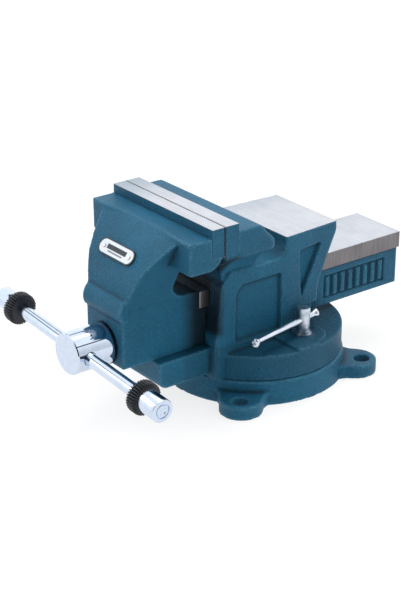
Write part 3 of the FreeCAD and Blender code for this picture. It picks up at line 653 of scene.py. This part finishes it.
# ---- light and camera ----
def studio():
    """Pale floor, a white room with a thin dark ring and one unlit side, and three soft lights."""
    world = bpy.data.worlds.new("studio")
    world.use_nodes = True
    tree = world.node_tree
    tree.nodes.clear()
    direction = add(tree, "ShaderNodeTexCoord").outputs["Generated"]
    height = add(tree, "ShaderNodeSeparateXYZ", {"Vector": direction}).outputs["Z"]
    ramp = add(tree, "ShaderNodeValToRGB", {"Fac": height})
    stops = ramp.color_ramp.elements
    stops[0].position, stops[0].color = 0.0, (0.96, 0.98, 1.0, 1)
    stops[1].position, stops[1].color = 1.0, (0.96, 0.98, 1.0, 1)
    for position, shade in ((0.60, 1.0), (0.62, 0.03), (0.66, 0.03), (0.68, 1.0)):
        stop = stops.new(position)
        stop.color = (shade * 0.96, shade * 0.98, shade, 1)
    unlit = add(tree, "ShaderNodeVectorMath", {0: direction, 1: UNLIT_SIDE}, operation="DOT_PRODUCT")
    strength = mapped(tree, unlit.outputs["Value"], 0.2, 0.75, WALL_LIGHT, 0.05 * WALL_LIGHT)
    back = add(tree, "ShaderNodeBackground", {"Color": ramp.outputs["Color"], "Strength": strength})
    add(tree, "ShaderNodeOutputWorld", {"Surface": back.outputs["Background"]})
    bpy.context.scene.world = world

    floor_mesh = bpy.data.meshes.new("floor")
    reach = 30.0
    drop = -0.2 * MM
    floor_mesh.from_pydata([(-reach, -reach, drop), (reach, -reach, drop), (reach, reach, drop),
                            (-reach, reach, drop)], [], [(0, 1, 2, 3)])
    floor = bpy.data.objects.new("floor", floor_mesh)
    bpy.context.scene.collection.objects.link(floor)
    material, tree = new_graph("floor_paper")
    finish_graph(tree, Base_Color=(0.24, 0.24, 0.24, 1), Roughness=0.9, Specular_IOR_Level=0.0,
                 Emission_Color=(1, 1, 1, 1), Emission_Strength=0.78)
    floor_mesh.materials.append(material)
    soft_light("top_light", (-0.15, 0.1, 1.2), (0, 0, 0.08), 0.7, 6.0)
    soft_light("left_light", (-0.8, -1.2, 1.0), (0, 0, 0.08), 0.8, 6.0)
    soft_light("side_light", (1.6, -0.1, 0.5), (0, 0, 0.08), 0.9, 6.0).visible_glossy = False


def soft_light(name, location, target, size, power):
    data = bpy.data.lights.new(name, "AREA")
    data.shape = "SQUARE"
    data.size = size
    data.energy = power
    light = bpy.data.objects.new(name, data)
    light.location = location
    aim = Vector(target) - Vector(location)
    light.rotation_euler = aim.to_track_quat("-Z", "Y").to_euler()
    bpy.context.scene.collection.objects.link(light)
    return light


def camera():
    data = bpy.data.cameras.new("camera")
    data.sensor_fit = "VERTICAL"
    data.sensor_height = 36.0
    data.lens = 96.65
    view = bpy.data.objects.new("camera", data)
    right = Vector((0.60597, 0.79549, 0.0))
    up = Vector((-0.32332, 0.24629, 0.91368))
    back = Vector((0.72682, -0.55366, 0.40644))
    turn = Matrix((right, up, back)).transposed().to_4x4()
    view.matrix_world = Matrix.Translation((0.9118, -0.7474, 0.5798)) @ turn
    bpy.context.scene.collection.objects.link(view)
    bpy.context.scene.camera = view
    bpy.context.scene.view_settings.view_transform = "Standard"


def paint_nodes(material, *names):
    for name in names:
        mesh = NODES[name].data
        mesh.materials.clear()
        mesh.materials.append(material)


def main():
    chrome = metal("chrome_look", (0.62, 0.70, 0.82, 1), (0.56, 0.64, 0.77, 1), 0.03, 0.07, bump=0.01)
    bright = metal("bright_zinc_look", (0.66, 0.71, 0.78, 1), (0.58, 0.63, 0.71, 1), 0.12, 0.20, bump=0.03)
    zinc = metal("zinc_look", (0.60, 0.66, 0.74, 1), (0.40, 0.46, 0.54, 1), 0.22, 0.36, bump=0.06)
    black = metal("black_steel_look", (0.03, 0.03, 0.035, 1), (0.07, 0.07, 0.08, 1), 0.35, 0.5, bump=0.2)
    plain = metal("plain_steel_look", (0.5, 0.5, 0.5, 1), (0.35, 0.34, 0.33, 1), 0.3, 0.45, bump=0.3)
    iron = metal("nut_iron_look", (0.22, 0.21, 0.2, 1), (0.12, 0.11, 0.1, 1), 0.4, 0.6, bump=0.4)
    oiled = metal("oiled_thread_look", (0.26, 0.25, 0.23, 1), (0.12, 0.11, 0.10, 1), 0.22, 0.4, bump=0.15)
    badge = badge_metal()
    black_rubber = rubber()
    castings()
    plate_steel = [((None, None, JAW_TOP - SKIN), (None, None, None)),
                   ((None, JAW_FACE_Y - SEAM_HALF, None),
                    (JAW_HALF - 0.1 * MM, JAW_FACE_Y + SEAM_HALF, None))]
    plate_paint = painted_casting("plate_paint", plate_steel, toothed=True)
    paint_nodes(plate_paint, "front_jaw_plate", "rear_jaw_plate")
    paint_nodes(black, "front_jaw_screws", "rear_jaw_screws", "thrust_washer")
    paint_nodes(badge, "badge")
    paint_nodes(plain, "badge_rivets", "retaining_collar", "collar_pin", "t_nut_left", "t_nut_right")
    paint_nodes(iron, "spindle_nut")
    paint_nodes(zinc, "lock_head_left", "lock_head_right", "lock_washer_left", "lock_washer_right",
                "lock_stud_left", "lock_stud_right", "nut_bolt", "nut_washer")
    handle_pieces(chrome, black_rubber)
    lock_bars(bright)
    spindle(chrome, oiled)
    studio()
    camera()


main()
